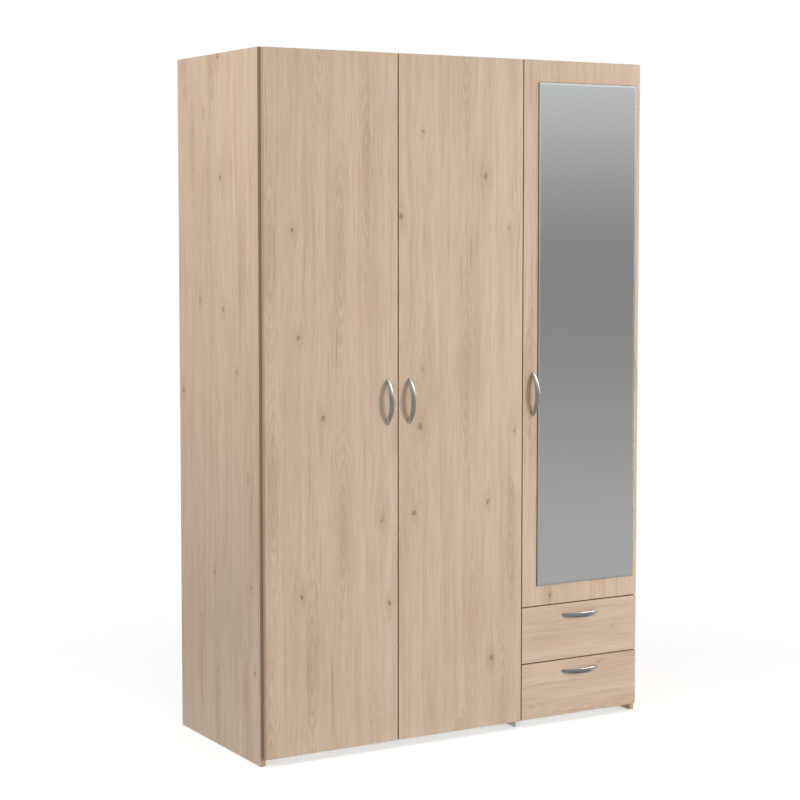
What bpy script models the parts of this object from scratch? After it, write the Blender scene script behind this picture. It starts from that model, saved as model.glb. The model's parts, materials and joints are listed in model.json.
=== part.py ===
"""Wardrobe with two plain doors, a mirror door and two drawers, built from melamine boards.

Metres, +Z up. X = 0 is the middle of the width, Y = 0 the middle of the whole depth with
handles, and Z = 0 the floor. The doors face -Y. The two plain doors close one wide hanging
space; a partition stands behind the seam to the mirror door, whose narrow column holds
shelves, with two drawers under it.
"""

import math

import bmesh
import bpy
from mathutils import Matrix, Vector

# Carcase
WIDTH = 1.200
HEIGHT = 1.850
SIDE_DEPTH = 0.495
BOARD = 0.015
BACK_SHEET = 0.003
EDGE_BEVEL = 0.0005
FIT = 0.0003  # clearance left between two pieces that touch
PLINTH_HEIGHT = 0.045
PLINTH_SETBACK = 0.060
PLINTH_LIFT = 0.001
BACK_SHEET_INSET = 0.003
BACK_SHEET_DROP = 0.005  # how far the back sheets hang below the bottom boards' undersides
SHELF_BACK_GAP = 0.003
SHELF_FRONT_GAP = 0.020

# Fronts
DOOR_GAP = 0.0025  # between the carcase's front edges and the back of the doors
DOOR_INSET = 0.008  # from the carcase's outer faces to the doors' outer edges
SEAM = 0.003
TOP_REVEAL = 0.001
FRONT_BOTTOM = 0.021
DRAWER_FRONT_HEIGHT = 0.1565
DRAWER_COUNT = 2

# Mirror glued to the third door
MIRROR_THICKNESS = 0.003
MIRROR_MARGIN_HINGE_SIDE = 0.0135
MIRROR_MARGIN_HANDLE_SIDE = 0.0475
MIRROR_MARGIN_TOP = 0.060
MIRROR_MARGIN_BOTTOM = 0.0555

# Wide compartment
HAT_SHELF_SPACE = 0.290  # clear height between the hat shelf and the top board
RAIL_WIDTH = 0.015
RAIL_HEIGHT = 0.030
RAIL_WALL = 0.001
RAIL_DROP = 0.045  # from the hat shelf's underside to the rail's middle
SOCKET_PLATE = 0.003
SOCKET_REACH = 0.012
SOCKET_WALL = 0.0025
SOCKET_MARGIN = 0.008  # the socket plate's width beyond its walls

# Narrow column
LOOSE_SHELVES = 2

# Strip that joins the two sheets behind the wide compartment
STRIP_LIP = 0.0012
STRIP_REACH = 0.010
STRIP_WEB = 0.0015

# Concealed hinges, three to a door
HINGE_NAMES = ("bottom", "middle", "top")
HINGE_END_DISTANCE = 0.100  # from the door's ends to the outer hinges
CUP_EDGE_DISTANCE = 0.0225  # from the door's edge to the cup's middle
CUP_RADIUS = 0.0172
CUP_WALL = 0.0017
CUP_DEPTH = 0.0115
CUP_BORE_EXTRA = 0.0005
CUP_FLANGE = 0.0012
CUP_FLANGE_LENGTH = 0.060
CUP_FLANGE_WIDTH = 0.014
ARM_HEIGHT = 0.0125  # how far the arm stands out from the panel
ARM_WIDTH = 0.015
ARM_LENGTH = 0.062
ARM_SETBACK = 0.001
ARM_BEVEL = 0.0015
PLATE_THICKNESS = 0.0025
PLATE_START = 0.022
PLATE_WIDTH = 0.030
PLATE_HEIGHT = 0.052
AXIS_FROM_EDGE = 0.006  # the pivot line, measured from the door's hinge-side edge
AXIS_FROM_BACK = 0.0095  # and from the door's back face

# Bow handles
HANDLE_FEET = 0.1145  # between the middles of its feet
HANDLE_OUT = 0.029
HANDLE_WIDTH = 0.0150
HANDLE_THICKNESS = 0.0080
HANDLE_TIP_WIDTH = 0.0085
HANDLE_TIP_THICKNESS = 0.0066
HANDLE_FULLNESS = 0.50  # the power of the sine that swells the bow; lower is blunter
HANDLE_INSET = 0.032  # from a front's free edge to the handle's line
HANDLE_MID_HEIGHT = 0.9325
HANDLE_RINGS = 24
HANDLE_SIDES = 12

# Drawer boxes
DRAWER_SIDE_GAP = 0.004
DRAWER_BACK_ROOM = 0.075
DRAWER_FLOOR_CLEARANCE = 0.006  # from the bottom board to the lower drawer's box
DRAWER_BOX_DROP = 0.0132  # from the top of a drawer's front down to its box
DRAWER_BOARD = 0.012
DRAWER_SHEET = 0.003
DRAWER_SHEET_HEIGHT = 0.008  # of the sheet above the box's lower edge
DRAWER_GROOVE = 0.004
DRAWER_BACK_DROP = 0.010  # the back board ends this far below the side boards
RUNNER_HEIGHT = 0.016
RUNNER_REACH = 0.0065  # how far a runner stands in its groove
RUNNER_SETBACK = 0.030
RUNNER_MID = 0.055  # above the box's lower edge
RUNNER_PLAY = 0.0005
RUNNER_ROOM = 0.001

CIRCLE_SIDES = 24
SMOOTH_ANGLE = 35  # edges sharper than this many degrees stay sharp

COLOURS = {
    "oak_board": ((0.610, 0.456, 0.328), 0.50, 0.0),
    "white_board": ((0.760, 0.765, 0.755), 0.45, 0.0),
    "back_sheet": ((0.720, 0.715, 0.690), 0.60, 0.0),
    "drawer_board": ((0.740, 0.735, 0.715), 0.50, 0.0),
    "mirror_glass": ((0.620, 0.655, 0.630), 0.02, 1.0),
    "handle_metal": ((0.520, 0.520, 0.510), 0.30, 1.0),
    "hinge_steel": ((0.560, 0.565, 0.570), 0.30, 1.0),
    "rail_steel": ((0.700, 0.700, 0.700), 0.15, 1.0),
    "white_plastic": ((0.780, 0.780, 0.760), 0.40, 0.0),
}

# Planes that run through the whole wardrobe
DEPTH = HANDLE_OUT + BOARD + DOOR_GAP + SIDE_DEPTH + BACK_SHEET + STRIP_LIP + 2 * FIT
Y_DOOR_FRONT = HANDLE_OUT - DEPTH / 2
Y_DOOR_BACK = Y_DOOR_FRONT + BOARD
Y_FRONT = Y_DOOR_BACK + DOOR_GAP
Y_REAR = Y_FRONT + SIDE_DEPTH
X_LEFT = -WIDTH / 2
X_RIGHT = WIDTH / 2
X_INNER_LEFT = X_LEFT + BOARD
X_INNER_RIGHT = X_RIGHT - BOARD
DOOR_WIDTH = (WIDTH - 2 * DOOR_INSET - 2 * SEAM) / 3
DOOR_EDGES = [X_LEFT + DOOR_INSET + i * (DOOR_WIDTH + SEAM) for i in range(3)]
X_PARTITION = DOOR_EDGES[2] - SEAM / 2
X_PARTITION_LEFT = X_PARTITION - BOARD / 2
X_PARTITION_RIGHT = X_PARTITION + BOARD / 2
Z_BOTTOM = PLINTH_HEIGHT + FIT
Z_FLOOR = Z_BOTTOM + BOARD  # the upper face of the bottom boards
Z_CEILING = HEIGHT - BOARD
Z_DOOR_TOP = HEIGHT - TOP_REVEAL
DRAWER_PITCH = DRAWER_FRONT_HEIGHT + SEAM
Z_MIRROR_DOOR = FRONT_BOTTOM + DRAWER_COUNT * DRAWER_PITCH
Z_DRAWER_SHELF = Z_MIRROR_DOOR - SEAM / 2 - BOARD / 2
Z_DRAWER_BOX = Z_FLOOR + DRAWER_FLOOR_CLEARANCE  # the lower drawer's box
DRAWER_BOX_HEIGHT = FRONT_BOTTOM + DRAWER_FRONT_HEIGHT - DRAWER_BOX_DROP - Z_DRAWER_BOX
Z_HAT_SHELF = Z_CEILING - HAT_SHELF_SPACE - BOARD


def clear_scene():
    for obj in list(bpy.data.objects):
        bpy.data.objects.remove(obj, do_unlink=True)


def material(slot):
    """The Principled material of one slot, made on first use."""
    found = bpy.data.materials.get(slot)
    if found:
        return found
    colour, roughness, metallic = COLOURS[slot]
    made = bpy.data.materials.new(slot)
    made.use_nodes = True
    shader = made.node_tree.nodes["Principled BSDF"]
    shader.inputs["Base Color"].default_value = (*colour, 1.0)
    shader.inputs["Roughness"].default_value = roughness
    shader.inputs["Metallic"].default_value = metallic
    return made


def mesh_from(bm, name):
    bmesh.ops.recalc_face_normals(bm, faces=bm.faces)
    mesh = bpy.data.meshes.new(name)
    bm.to_mesh(mesh)
    bm.free()
    return mesh


def add_object(name, mesh, slot, location, parent=None, rotation=(0, 0, 0)):
    """Put a mesh in the scene at a world location, under its parent when it has one."""
    obj = bpy.data.objects.new(name, mesh)
    bpy.context.collection.objects.link(obj)
    obj.rotation_euler = rotation
    obj.location = Vector(location)
    if parent:
        obj.parent = parent
        obj.location -= parent.location
    if not mesh.materials:
        mesh.materials.append(material(slot))
    return obj


def add_axis(name, location):
    """An empty on a joint's axis, which the moving pieces hang from."""
    empty = bpy.data.objects.new(name, None)
    bpy.context.collection.objects.link(empty)
    empty.location = location
    return empty


def box_mesh(name, size, bevel=EDGE_BEVEL):
    """A box about its own middle, with its edges broken."""
    bm = bmesh.new()
    bmesh.ops.create_cube(bm, size=1)
    bmesh.ops.scale(bm, vec=size, verts=bm.verts)
    width = min(bevel, min(size) / 4)
    if width > 0:
        bmesh.ops.bevel(bm, geom=bm.edges[:], offset=width, segments=1, affect="EDGES")
    return mesh_from(bm, name)


def board(name, slot, low, high, parent=None, bevel=EDGE_BEVEL):
    """A board between two opposite corners."""
    low, high = Vector(low), Vector(high)
    mesh = box_mesh(name, high - low, bevel)
    return add_object(name, mesh, slot, (low + high) / 2, parent)


def extruded_mesh(name, outline, along, start, end):
    """An outline's solid. The outline lies across the axis named by along, X, Y or Z."""
    axis = "XYZ".index(along)
    across = [i for i in range(3) if i != axis]
    bm = bmesh.new()
    verts = []
    for u, v in outline:
        point = [0.0, 0.0, 0.0]
        point[across[0]], point[across[1]] = u, v
        point[axis] = start
        verts.append(bm.verts.new(point))
    face = bm.faces.new(verts)
    grown = bmesh.ops.extrude_face_region(bm, geom=[face])["geom"]
    moved = [item for item in grown if isinstance(item, bmesh.types.BMVert)]
    step = Vector((0, 0, 0))
    step[axis] = end - start
    bmesh.ops.translate(bm, vec=step, verts=moved)
    return mesh_from(bm, name)


def cylinder_mesh(name, radius, start, end):
    """A cylinder along Y, about X = Z = 0."""
    outline = [
        (radius * math.cos(turn), radius * math.sin(turn))
        for turn in (2 * math.pi * i / CIRCLE_SIDES for i in range(CIRCLE_SIDES))
    ]
    return extruded_mesh(name, outline, "Y", start, end)


def stadium(half_width, half_height):
    """An upright oval: two half circles and the straight sides between them."""
    straight = half_height - half_width
    steps = CIRCLE_SIDES // 2
    points = []
    for side in (1, -1):
        for i in range(steps + 1):
            turn = math.pi * i / steps + (0 if side > 0 else math.pi)
            points.append((half_width * math.cos(turn), side * straight + half_width * math.sin(turn)))
    return points


def combine(obj, other, operation):
    """Apply a Boolean of obj with other, and remove other."""
    modifier = obj.modifiers.new("combine", "BOOLEAN")
    modifier.operation = operation
    modifier.object = other
    bpy.context.view_layer.update()
    graph = bpy.context.evaluated_depsgraph_get()
    made = bpy.data.meshes.new_from_object(obj.evaluated_get(graph))
    obj.modifiers.clear()
    obj.data = made
    bpy.data.objects.remove(other, do_unlink=True)


def smooth(mesh):
    mesh.shade_smooth()
    mesh.set_sharp_from_angle(angle=math.radians(SMOOTH_ANGLE))


def combined_mesh(name, first, second, operation="UNION"):
    """The mesh of two meshes joined, or of the first with the second cut away."""
    kept = bpy.data.objects.new(name, first)
    tool = bpy.data.objects.new(name + "_tool", second)
    for obj in (kept, tool):
        bpy.context.collection.objects.link(obj)
    combine(kept, tool, operation)
    mesh = kept.data
    bpy.data.objects.remove(kept, do_unlink=True)
    return mesh


# Carcase ------------------------------------------------------------------------------------


def build_uprights():
    board("left_side_panel", "oak_board", (X_LEFT, Y_FRONT, 0), (X_INNER_LEFT, Y_REAR, HEIGHT))
    board("right_side_panel", "oak_board", (X_INNER_RIGHT, Y_FRONT, 0), (X_RIGHT, Y_REAR, HEIGHT))
    board(
        "partition",
        "white_board",
        (X_PARTITION_LEFT, Y_FRONT, 0),
        (X_PARTITION_RIGHT, Y_REAR, Z_CEILING - FIT),
    )


def build_horizontals():
    """The top board, and for each compartment its bottom board and plinth."""
    board(
        "top_panel",
        "oak_board",
        (X_INNER_LEFT + FIT, Y_FRONT, Z_CEILING),
        (X_INNER_RIGHT - FIT, Y_REAR, HEIGHT),
    )
    spans = {
        "wide": (X_INNER_LEFT + FIT, X_PARTITION_LEFT - FIT),
        "narrow": (X_PARTITION_RIGHT + FIT, X_INNER_RIGHT - FIT),
    }
    y_plinth = Y_FRONT + PLINTH_SETBACK
    for name, (x0, x1) in spans.items():
        board(name + "_bottom_panel", "white_board", (x0, Y_FRONT, Z_BOTTOM), (x1, Y_REAR, Z_FLOOR))
        board(
            name + "_plinth",
            "white_board",
            (x0, y_plinth, PLINTH_LIFT),
            (x1, y_plinth + BOARD, PLINTH_HEIGHT),
        )


def build_shelves():
    x_wide = (X_INNER_LEFT + FIT, X_PARTITION_LEFT - FIT)
    x_narrow = (X_PARTITION_RIGHT + FIT, X_INNER_RIGHT - FIT)
    y_rear = Y_REAR - SHELF_BACK_GAP
    board(
        "hat_shelf",
        "white_board",
        (x_wide[0], Y_FRONT, Z_HAT_SHELF),
        (x_wide[1], y_rear, Z_HAT_SHELF + BOARD),
    )
    board(
        "drawer_top_shelf",
        "white_board",
        (x_narrow[0], Y_FRONT, Z_DRAWER_SHELF),
        (x_narrow[1], y_rear, Z_DRAWER_SHELF + BOARD),
    )
    column = Z_CEILING - (Z_DRAWER_SHELF + BOARD)
    bay = (column - LOOSE_SHELVES * BOARD) / (LOOSE_SHELVES + 1)
    for i, name in enumerate(("lower", "upper")[:LOOSE_SHELVES]):
        z = Z_DRAWER_SHELF + BOARD + bay + i * (bay + BOARD)
        board(
            name + "_loose_shelf",
            "white_board",
            (x_narrow[0], Y_FRONT + SHELF_FRONT_GAP, z),
            (x_narrow[1], y_rear, z + BOARD),
        )


def build_back():
    """Three thin sheets on the rear edges, and the strip that joins the first two."""
    x_joint = (X_LEFT + X_PARTITION) / 2
    y0, y1 = Y_REAR + FIT, Y_REAR + FIT + BACK_SHEET
    z0, z1 = Z_BOTTOM - BACK_SHEET_DROP, HEIGHT - BACK_SHEET_INSET
    clear = STRIP_WEB / 2 + FIT
    spans = {
        "left": (X_LEFT + BACK_SHEET_INSET, x_joint - clear),
        "middle": (x_joint + clear, X_PARTITION - FIT),
        "right": (X_PARTITION + FIT, X_RIGHT - BACK_SHEET_INSET),
    }
    for name, (x0, x1) in spans.items():
        board(name + "_back_sheet", "back_sheet", (x0, y0, z0), (x1, y1, z1), bevel=0)
    web = STRIP_WEB / 2
    lips = [y0 - FIT - STRIP_LIP, y0 - FIT, y1 + FIT, y1 + FIT + STRIP_LIP]
    outline = [
        (-STRIP_REACH, lips[0]),
        (STRIP_REACH, lips[0]),
        (STRIP_REACH, lips[1]),
        (web, lips[1]),
        (web, lips[2]),
        (STRIP_REACH, lips[2]),
        (STRIP_REACH, lips[3]),
        (-STRIP_REACH, lips[3]),
        (-STRIP_REACH, lips[2]),
        (-web, lips[2]),
        (-web, lips[1]),
        (-STRIP_REACH, lips[1]),
    ]
    mesh = extruded_mesh("back_joining_strip", outline, "Z", Z_FLOOR + FIT, Z_CEILING - FIT)
    add_object("back_joining_strip", mesh, "white_plastic", (x_joint, 0, 0))


def socket_mesh():
    """A rail socket that faces +X: an oval plate with a trough, open at the top."""
    inner = RAIL_WIDTH / 2 + FIT
    outer = inner + SOCKET_WALL
    straight = (RAIL_HEIGHT - RAIL_WIDTH) / 2
    top = RAIL_HEIGHT / 2
    steps = CIRCLE_SIDES // 2
    turns = [math.pi * i / steps for i in range(steps + 1)]
    trough = [(outer, top)]
    trough += [(outer * math.cos(t), -straight - outer * math.sin(t)) for t in turns]
    trough += [(-outer, top), (-inner, top)]
    trough += [(-inner * math.cos(t), -straight - inner * math.sin(t)) for t in turns]
    trough += [(inner, top)]
    plate = stadium(outer + SOCKET_MARGIN, RAIL_HEIGHT / 2 + SOCKET_WALL + SOCKET_MARGIN)
    plate_mesh = extruded_mesh("plate", plate, "X", FIT, SOCKET_PLATE)
    trough_mesh = extruded_mesh("trough", trough, "X", SOCKET_PLATE / 2, SOCKET_REACH)
    mesh = combined_mesh("rail_socket", plate_mesh, trough_mesh)
    smooth(mesh)
    return mesh


def build_rail():
    y = (Y_FRONT + Y_REAR) / 2
    z = Z_HAT_SHELF - RAIL_DROP
    mesh = socket_mesh()
    add_object("left_rail_socket", mesh, "white_plastic", (X_INNER_LEFT, y, z))
    add_object(
        "right_rail_socket",
        mesh,
        "white_plastic",
        (X_PARTITION_LEFT, y, z),
        rotation=(0, 0, math.pi),
    )
    start = X_INNER_LEFT + SOCKET_PLATE + FIT
    end = X_PARTITION_LEFT - SOCKET_PLATE - FIT
    shell = extruded_mesh("shell", stadium(RAIL_WIDTH / 2, RAIL_HEIGHT / 2), "X", start, end)
    hollow = stadium(RAIL_WIDTH / 2 - RAIL_WALL, RAIL_HEIGHT / 2 - RAIL_WALL)
    bore = extruded_mesh("bore", hollow, "X", start - RAIL_WIDTH, end + RAIL_WIDTH)
    tube = combined_mesh("hanging_rail", shell, bore, "DIFFERENCE")
    smooth(tube)
    add_object("hanging_rail", tube, "rail_steel", (0, y, z))


# Hinges -------------------------------------------------------------------------------------


def arm_mesh():
    """A hinge arm on its plate. X = 0 is the panel's face, Y = 0 the carcase's front."""
    plate_size = (PLATE_THICKNESS - FIT, PLATE_WIDTH, PLATE_HEIGHT)
    plate = box_mesh("plate", plate_size)
    plate_middle = Vector(((FIT + PLATE_THICKNESS) / 2, PLATE_START + PLATE_WIDTH / 2, 0))
    plate.transform(Matrix.Translation(plate_middle))
    low = PLATE_THICKNESS / 2
    arm_size = (ARM_HEIGHT - low, ARM_LENGTH - ARM_SETBACK, ARM_WIDTH)
    arm = box_mesh("arm", arm_size, ARM_BEVEL)
    arm_middle = Vector(((low + ARM_HEIGHT) / 2, (ARM_SETBACK + ARM_LENGTH) / 2, 0))
    arm.transform(Matrix.Translation(arm_middle))
    return combined_mesh("hinge_arm", plate, arm)


def cup_mesh():
    """A hinge cup. Y = 0 is the door's back face, and the cup reaches into the door at -Y."""
    flange = stadium(CUP_FLANGE_WIDTH / 2, CUP_FLANGE_LENGTH / 2)
    plate = extruded_mesh("flange", flange, "Y", FIT, FIT + CUP_FLANGE)
    body = cylinder_mesh("body", CUP_RADIUS, -CUP_DEPTH, FIT + CUP_FLANGE)
    hollow = cylinder_mesh("hollow", CUP_RADIUS - CUP_WALL, CUP_WALL - CUP_DEPTH, CUP_DEPTH)
    mesh = combined_mesh("cup", plate, body)
    mesh = combined_mesh("hinge_cup", mesh, hollow, "DIFFERENCE")
    smooth(mesh)
    return mesh


def hinge_heights(z0, z1):
    return z0 + HINGE_END_DISTANCE, (z0 + z1) / 2, z1 - HINGE_END_DISTANCE


# Doors and handles --------------------------------------------------------------------------


def handle_mesh():
    """A bow along Z that stands out to -Y, widest in the middle and narrow at its feet."""
    rise = HANDLE_OUT - FIT - HANDLE_THICKNESS / 2
    half = HANDLE_FEET / 2
    radius = (half**2 + rise**2) / (2 * rise)
    sweep = math.asin(half / radius)
    bm = bmesh.new()
    rings = []
    for i in range(HANDLE_RINGS + 1):
        share = i / HANDLE_RINGS
        turn = sweep * (2 * share - 1)
        middle = Vector((0, radius - rise - radius * math.cos(turn) - FIT, radius * math.sin(turn)))
        outward = Vector((0, -math.cos(turn), math.sin(turn)))
        along = Vector((0, math.sin(turn), math.cos(turn)))
        fullness = math.sin(math.pi * share) ** HANDLE_FULLNESS
        width = HANDLE_TIP_WIDTH + (HANDLE_WIDTH - HANDLE_TIP_WIDTH) * fullness
        depth = HANDLE_TIP_THICKNESS + (HANDLE_THICKNESS - HANDLE_TIP_THICKNESS) * fullness
        ring = []
        for j in range(HANDLE_SIDES):
            angle = 2 * math.pi * j / HANDLE_SIDES
            point = middle + Vector((width / 2 * math.cos(angle), 0, 0))
            point += outward * (depth / 2 * math.sin(angle))
            if i in (0, HANDLE_RINGS):
                point -= along * ((point.y + FIT) / along.y)
            ring.append(bm.verts.new(point))
        rings.append(ring)
    for low, high in zip(rings, rings[1:]):
        for j in range(HANDLE_SIDES):
            k = (j + 1) % HANDLE_SIDES
            bm.faces.new((low[j], low[k], high[k], high[j]))
    bm.faces.new(rings[0])
    bm.faces.new(rings[-1])
    mesh = mesh_from(bm, "bow_handle")
    smooth(mesh)
    return mesh


def cut_cup_bores(panel, x, heights):
    """Blind bores for the hinge cups, from the back face of a door panel."""
    for z in heights:
        depth = CUP_DEPTH + CUP_BORE_EXTRA
        bore = cylinder_mesh("bore", CUP_RADIUS + FIT, -depth, depth)
        tool = add_object("bore", bore, "oak_board", (x, Y_DOOR_BACK, z))
        combine(panel, tool, "DIFFERENCE")


def build_door(name, index, hinged_right, z0, meshes, host_face):
    """A door with its handle and hinges. host_face is the X of the face its arms screw to."""
    x0 = DOOR_EDGES[index]
    x1 = x0 + DOOR_WIDTH
    inward = -1 if hinged_right else 1
    hinge_edge, free_edge = (x1, x0) if hinged_right else (x0, x1)
    x_axis = hinge_edge + inward * AXIS_FROM_EDGE
    axis = add_axis(name + "_axis", (x_axis, Y_DOOR_BACK - AXIS_FROM_BACK, (z0 + Z_DOOR_TOP) / 2))
    panel = board(
        name + "_panel", "oak_board", (x0, Y_DOOR_FRONT, z0), (x1, Y_DOOR_BACK, Z_DOOR_TOP), axis
    )
    heights = hinge_heights(z0, Z_DOOR_TOP)
    x_cup = hinge_edge + inward * CUP_EDGE_DISTANCE
    cut_cup_bores(panel, x_cup, heights)
    for place, z in zip(HINGE_NAMES, heights):
        cup = (x_cup, Y_DOOR_BACK, z)
        add_object(f"{name}_hinge_cup_{place}", meshes["cup"], "hinge_steel", cup, axis)
        arm = (host_face, Y_FRONT, z)
        turned = (0, math.pi, 0) if hinged_right else (0, 0, 0)
        add_object(f"{name}_hinge_arm_{place}", meshes["arm"], "hinge_steel", arm, rotation=turned)
    handle = (free_edge - inward * HANDLE_INSET, Y_DOOR_FRONT, HANDLE_MID_HEIGHT)
    add_object(name + "_handle", meshes["handle"], "handle_metal", handle, axis)
    return axis


def build_mirror(axis):
    x0 = DOOR_EDGES[2] + MIRROR_MARGIN_HANDLE_SIDE
    x1 = DOOR_EDGES[2] + DOOR_WIDTH - MIRROR_MARGIN_HINGE_SIDE
    board(
        "mirror_glass",
        "mirror_glass",
        (x0, Y_DOOR_FRONT - FIT - MIRROR_THICKNESS, Z_MIRROR_DOOR + MIRROR_MARGIN_BOTTOM),
        (x1, Y_DOOR_FRONT - FIT, Z_DOOR_TOP - MIRROR_MARGIN_TOP),
        axis,
    )


# Drawers ------------------------------------------------------------------------------------


def drawer_side_mesh():
    """The left side board along Y: a runner groove outside, a groove for the sheet inside."""
    half = DRAWER_BOARD / 2
    runner_low = RUNNER_MID - RUNNER_HEIGHT / 2 - RUNNER_PLAY
    runner_high = RUNNER_MID + RUNNER_HEIGHT / 2 + RUNNER_PLAY
    runner_root = RUNNER_REACH + RUNNER_ROOM - half
    sheet_low = DRAWER_SHEET_HEIGHT - FIT
    sheet_high = DRAWER_SHEET_HEIGHT + DRAWER_SHEET + FIT
    sheet_root = half - DRAWER_GROOVE
    outline = [
        (-half, 0),
        (half, 0),
        (half, sheet_low),
        (sheet_root, sheet_low),
        (sheet_root, sheet_high),
        (half, sheet_high),
        (half, DRAWER_BOX_HEIGHT),
        (-half, DRAWER_BOX_HEIGHT),
        (-half, runner_high),
        (runner_root, runner_high),
        (runner_root, runner_low),
        (-half, runner_low),
    ]
    half_length = (SIDE_DEPTH - DRAWER_BACK_ROOM) / 2
    return extruded_mesh("drawer_side", outline, "Y", -half_length, half_length)


def build_drawer(name, index, meshes):
    """One drawer with its front, and the two runners that carry it."""
    z_front = FRONT_BOTTOM + index * DRAWER_PITCH
    z_box = Z_DRAWER_BOX + index * DRAWER_PITCH
    x0 = X_PARTITION_RIGHT + DRAWER_SIDE_GAP
    x1 = X_INNER_RIGHT - DRAWER_SIDE_GAP
    y0 = Y_DOOR_BACK + FIT
    y1 = y0 + SIDE_DEPTH - DRAWER_BACK_ROOM
    z_sheet = z_box + DRAWER_SHEET_HEIGHT
    axis = add_axis(name + "_axis", ((x0 + x1) / 2, Y_DOOR_BACK, z_box + RUNNER_MID))
    front = board(
        name + "_front",
        "oak_board",
        (DOOR_EDGES[2], Y_DOOR_FRONT, z_front),
        (DOOR_EDGES[2] + DOOR_WIDTH, Y_DOOR_BACK, z_front + DRAWER_FRONT_HEIGHT),
        axis,
    )
    x_sheet = (x0 + DRAWER_BOARD - DRAWER_GROOVE + FIT, x1 - DRAWER_BOARD + DRAWER_GROOVE - FIT)
    groove = board(
        "groove",
        "oak_board",
        (x_sheet[0] - FIT, Y_DOOR_BACK - DRAWER_GROOVE, z_sheet - FIT),
        (x_sheet[1] + FIT, Y_DOOR_BACK + DRAWER_GROOVE, z_sheet + DRAWER_SHEET + FIT),
        bevel=0,
    )
    combine(front, groove, "DIFFERENCE")
    board(
        name + "_bottom",
        "back_sheet",
        (x_sheet[0], Y_DOOR_BACK - DRAWER_GROOVE + FIT, z_sheet),
        (x_sheet[1], y1, z_sheet + DRAWER_SHEET),
        axis,
        bevel=0,
    )
    for side, x, turn in (
        ("left", x0 + DRAWER_BOARD / 2, 0),
        ("right", x1 - DRAWER_BOARD / 2, math.pi),
    ):
        add_object(
            f"{name}_{side}_side",
            meshes["drawer_side"],
            "drawer_board",
            (x, (y0 + y1) / 2, z_box),
            axis,
            (0, 0, turn),
        )
    board(
        name + "_back",
        "drawer_board",
        (x0 + DRAWER_BOARD + FIT, y1 - DRAWER_BOARD, z_sheet + DRAWER_SHEET + FIT),
        (x1 - DRAWER_BOARD - FIT, y1, z_box + DRAWER_BOX_HEIGHT - DRAWER_BACK_DROP),
        axis,
    )
    handle = (
        DOOR_EDGES[2] + DOOR_WIDTH / 2,
        Y_DOOR_FRONT,
        z_front + DRAWER_FRONT_HEIGHT - HANDLE_INSET,
    )
    lying = (0, math.pi / 2, 0)
    add_object(name + "_handle", meshes["handle"], "handle_metal", handle, axis, lying)
    z_runner = z_box + RUNNER_MID - RUNNER_HEIGHT / 2
    reach = DRAWER_SIDE_GAP + RUNNER_REACH
    y_runner = (Y_FRONT + RUNNER_SETBACK, y1 - RUNNER_SETBACK)
    for side, x_low, x_high in (
        ("left", X_PARTITION_RIGHT + FIT, X_PARTITION_RIGHT + reach),
        ("right", X_INNER_RIGHT - reach, X_INNER_RIGHT - FIT),
    ):
        board(
            f"{name}_{side}_runner",
            "white_plastic",
            (x_low, y_runner[0], z_runner),
            (x_high, y_runner[1], z_runner + RUNNER_HEIGHT),
        )


def main():
    clear_scene()
    build_uprights()
    build_horizontals()
    build_shelves()
    build_back()
    build_rail()
    meshes = {
        "arm": arm_mesh(),
        "cup": cup_mesh(),
        "handle": handle_mesh(),
        "drawer_side": drawer_side_mesh(),
    }
    build_door("left_door", 0, False, FRONT_BOTTOM, meshes, X_INNER_LEFT)
    build_door("middle_door", 1, True, FRONT_BOTTOM, meshes, X_PARTITION_LEFT)
    axis = build_door("mirror_door", 2, True, Z_MIRROR_DOOR, meshes, X_INNER_RIGHT)
    build_mirror(axis)
    for index, name in enumerate(("lower_drawer", "upper_drawer")[:DRAWER_COUNT]):
        build_drawer(name, index, meshes)


main()
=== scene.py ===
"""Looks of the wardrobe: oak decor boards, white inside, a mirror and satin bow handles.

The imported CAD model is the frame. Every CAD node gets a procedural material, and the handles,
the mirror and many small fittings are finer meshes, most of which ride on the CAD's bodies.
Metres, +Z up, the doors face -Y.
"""

import json
import math

import bmesh
import bpy
from mathutils import Matrix, Vector


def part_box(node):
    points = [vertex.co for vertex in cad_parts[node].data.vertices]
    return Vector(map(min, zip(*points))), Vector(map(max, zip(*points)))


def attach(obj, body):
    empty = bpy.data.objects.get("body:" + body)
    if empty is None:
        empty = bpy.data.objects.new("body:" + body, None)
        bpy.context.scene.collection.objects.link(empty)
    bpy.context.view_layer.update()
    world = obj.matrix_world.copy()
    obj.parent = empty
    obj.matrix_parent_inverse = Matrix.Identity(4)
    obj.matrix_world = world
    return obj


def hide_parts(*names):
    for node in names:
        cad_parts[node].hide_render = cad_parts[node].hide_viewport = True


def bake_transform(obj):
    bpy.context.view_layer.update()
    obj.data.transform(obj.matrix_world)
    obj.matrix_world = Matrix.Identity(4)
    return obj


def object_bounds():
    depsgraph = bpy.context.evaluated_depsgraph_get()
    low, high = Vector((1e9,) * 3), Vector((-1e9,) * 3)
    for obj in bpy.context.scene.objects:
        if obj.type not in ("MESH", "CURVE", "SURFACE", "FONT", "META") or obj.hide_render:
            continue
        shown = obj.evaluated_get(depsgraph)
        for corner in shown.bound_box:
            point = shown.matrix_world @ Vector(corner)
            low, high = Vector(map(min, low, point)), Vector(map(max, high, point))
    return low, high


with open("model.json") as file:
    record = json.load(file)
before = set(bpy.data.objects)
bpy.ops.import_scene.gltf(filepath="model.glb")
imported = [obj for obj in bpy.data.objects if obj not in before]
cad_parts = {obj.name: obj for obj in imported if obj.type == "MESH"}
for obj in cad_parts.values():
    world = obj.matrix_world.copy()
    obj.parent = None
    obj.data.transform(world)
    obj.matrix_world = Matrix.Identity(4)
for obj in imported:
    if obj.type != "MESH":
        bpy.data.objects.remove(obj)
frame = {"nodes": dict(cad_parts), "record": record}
cad_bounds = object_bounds()

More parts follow.
